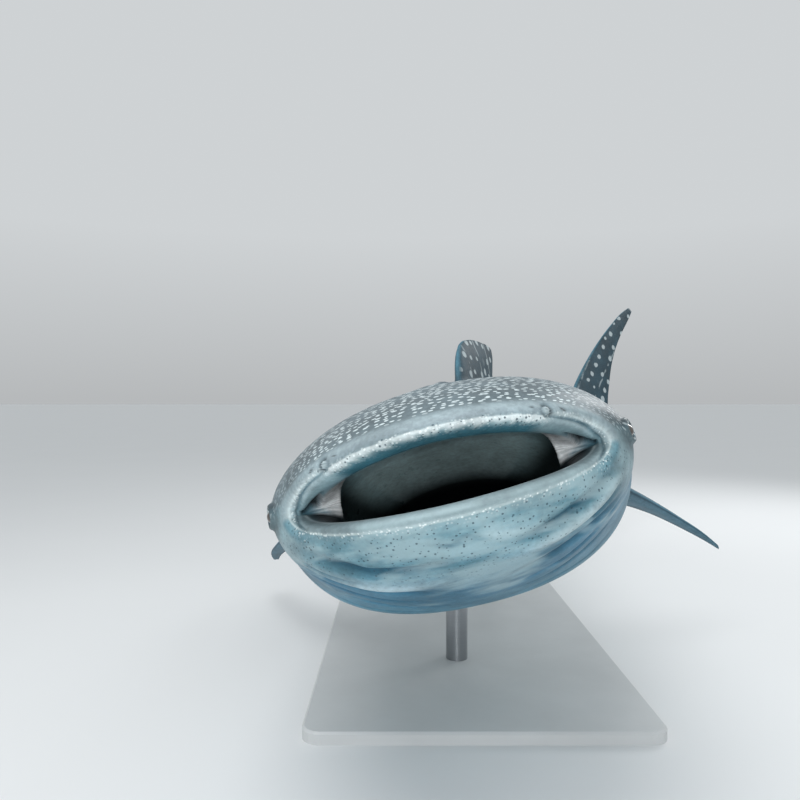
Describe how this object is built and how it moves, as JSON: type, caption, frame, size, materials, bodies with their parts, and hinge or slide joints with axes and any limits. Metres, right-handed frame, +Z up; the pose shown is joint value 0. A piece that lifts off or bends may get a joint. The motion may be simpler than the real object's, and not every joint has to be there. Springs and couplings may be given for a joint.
{
  "type": "whale shark model",
  "caption": "Life-size still model of a whale shark feeding with its mouth open, held up by two rods on a flat base.",
  "frame": {"origin": "centre of the underside of the stand's base", "axes": "+Z up, the shark faces -Y and its left side is on +X"},
  "size_m": [2.9632, 5.2759, 2.0716],
  "materials": {
    "back_skin": "satin grey-blue skin with pale spots",
    "belly_skin": "satin pale blue-white skin",
    "fin_skin": "satin dark blue-grey skin with a few pale spots",
    "eye": "glossy dark brown",
    "stand_board": "matt off-white painted board",
    "stand_rod": "satin pale grey"
  },
  "bodies": {
    "root": {"eye_left": "eye", "eye_right": "eye", "head": "back_skin", "lower_jaw": "belly_skin", "gill_region": "back_skin", "trunk": "back_skin", "tail_stalk": "back_skin", "caudal_fin": "fin_skin", "first_dorsal_fin": "fin_skin", "second_dorsal_fin": "fin_skin", "anal_fin": "fin_skin", "pelvic_fin_left": "fin_skin", "pelvic_fin_right": "fin_skin", "pectoral_fin_left": "fin_skin", "pectoral_fin_right": "fin_skin", "stand_base": "stand_board", "stand_rod_front": "stand_rod", "stand_rod_rear": "stand_rod"}
  },
  "joints": []
}
